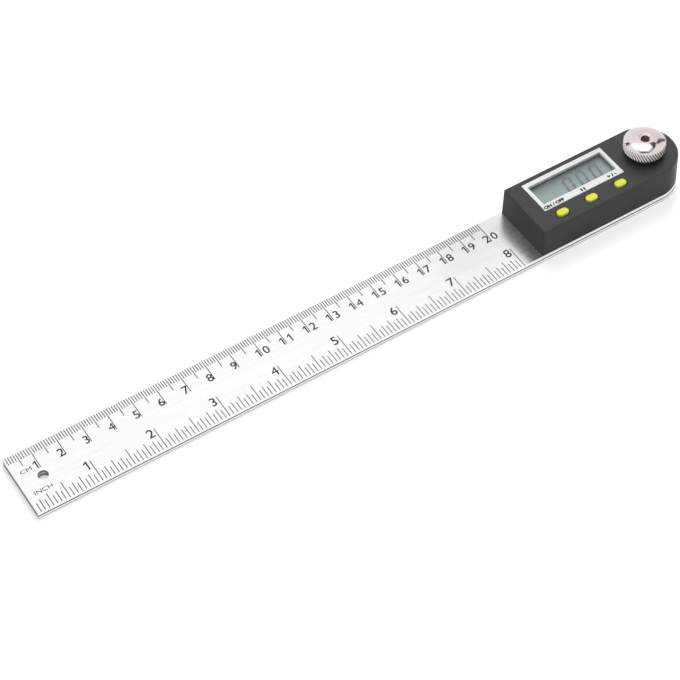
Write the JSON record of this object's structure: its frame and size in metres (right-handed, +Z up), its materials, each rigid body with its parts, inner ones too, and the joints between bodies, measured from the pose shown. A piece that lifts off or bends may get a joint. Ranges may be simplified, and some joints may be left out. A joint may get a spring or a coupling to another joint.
{
  "type": "digital angle rule",
  "caption": "Slim digital bevel protractor: flat steel blades on one pivot, with engraved scales, a display head, keys and a knurled locking knob.",
  "frame": {"origin": "on the pivot axis, at the underside of the lower blade, which is the plane the rule lies on", "axes": "+X along the blades from their square zero end towards the round pivot end, +Y from the inch edge to the centimetre edge, +Z up through the head and the knob"},
  "size_m": [0.2809, 0.0272, 0.0228],
  "materials": {
    "stainless_blade": "finely ground stainless steel with dark etched scales",
    "dark_plastic": "fine satin moulded plastic",
    "white_plastic": "smooth white surround",
    "clear_window": "clear flat window",
    "lcd_glass": "grey-green reflective liquid crystal cell",
    "natural_plastic": "natural moulded plastic",
    "contact_rubber": "striped conductive silicone",
    "board_laminate": "green solder mask over glass-epoxy laminate",
    "potting": "black epoxy potting",
    "chip_ceramic": "tan ceramic with tinned ends",
    "screw_steel": "nickel-plated steel",
    "switch_plastic": "black switch plastic",
    "cell_steel": "nickel-plated steel can",
    "contact_metal": "plated phosphor bronze strip",
    "bush_brass": "turned brass",
    "stud_steel": "turned stainless steel",
    "slip_polymer": "slippery white polymer",
    "knob_chrome": "polished chrome over a straight knurl",
    "button_plastic": "smooth yellow-green key",
    "cap_plastic": "black moulded plastic",
    "seal_rubber": "black rubber ring"
  },
  "bodies": {
    "head": {"upper_blade": "stainless_blade", "housing": "dark_plastic", "display_bezel": "white_plastic", "display_window": "clear_window", "lcd_panel": "lcd_glass", "lcd_frame": "natural_plastic", "zebra_strips": "contact_rubber", "main_board": "board_laminate", "chip_blob": "potting", "board_capacitors": "chip_ceramic", "board_screws": "screw_steel", "tact_switches": "switch_plastic", "housing_screws": "screw_steel", "coin_cell": "cell_steel", "battery_contact_positive": "contact_metal", "battery_contact_negative": "contact_metal", "pivot_bush": "bush_brass"},
    "arm": {"lower_blade": "stainless_blade", "pivot_stud": "stud_steel", "arm_washer": "slip_polymer", "spring_washer": "screw_steel", "encoder_rotor": "board_laminate", "rotor_clip": "screw_steel"},
    "knob_washer": {"thrust_washer": "slip_polymer"},
    "knob": {"lock_knob": "knob_chrome"},
    "power_key": {"power_button": "button_plastic", "power_plunger": "switch_plastic"},
    "hold_key": {"hold_button": "button_plastic", "hold_plunger": "switch_plastic"},
    "set_key": {"set_button": "button_plastic", "set_plunger": "switch_plastic"},
    "battery_cover": {"battery_cap": "cap_plastic", "cap_seal": "seal_rubber"}
  },
  "joints": [
    {"name": "arm_pivot", "type": "hinge", "parent": "head", "child": "arm", "pos_m": [0, 0, 0], "axis": [0, 0, 1], "continuous": true},
    {"name": "knob_rise", "type": "slide", "parent": "arm", "child": "knob_washer", "axis": [0, 0, 1], "range_m": [0, 0.0007]},
    {"name": "knob_turn", "type": "hinge", "parent": "knob_washer", "child": "knob", "pos_m": [0, 0, 0], "axis": [0, 0, 1], "range_deg": [0, 360]},
    {"name": "power_press", "type": "slide", "parent": "head", "child": "power_key", "axis": [0, 0, -1], "range_m": [0, 0.0004], "stiffness_N_per_m": 600},
    {"name": "hold_press", "type": "slide", "parent": "head", "child": "hold_key", "axis": [0, 0, -1], "range_m": [0, 0.0004], "stiffness_N_per_m": 600},
    {"name": "set_press", "type": "slide", "parent": "head", "child": "set_key", "axis": [0, 0, -1], "range_m": [0, 0.0004], "stiffness_N_per_m": 600},
    {"name": "battery_cap_turn", "type": "hinge", "parent": "head", "child": "battery_cover", "pos_m": [-0.0376, 0, 0], "axis": [0, 0, 1], "range_deg": [0, 45]}
  ],
  "couplings": [
    {"joint": "knob_turn", "follows": "knob_rise", "rad_per_m": 8975.9}
  ]
}
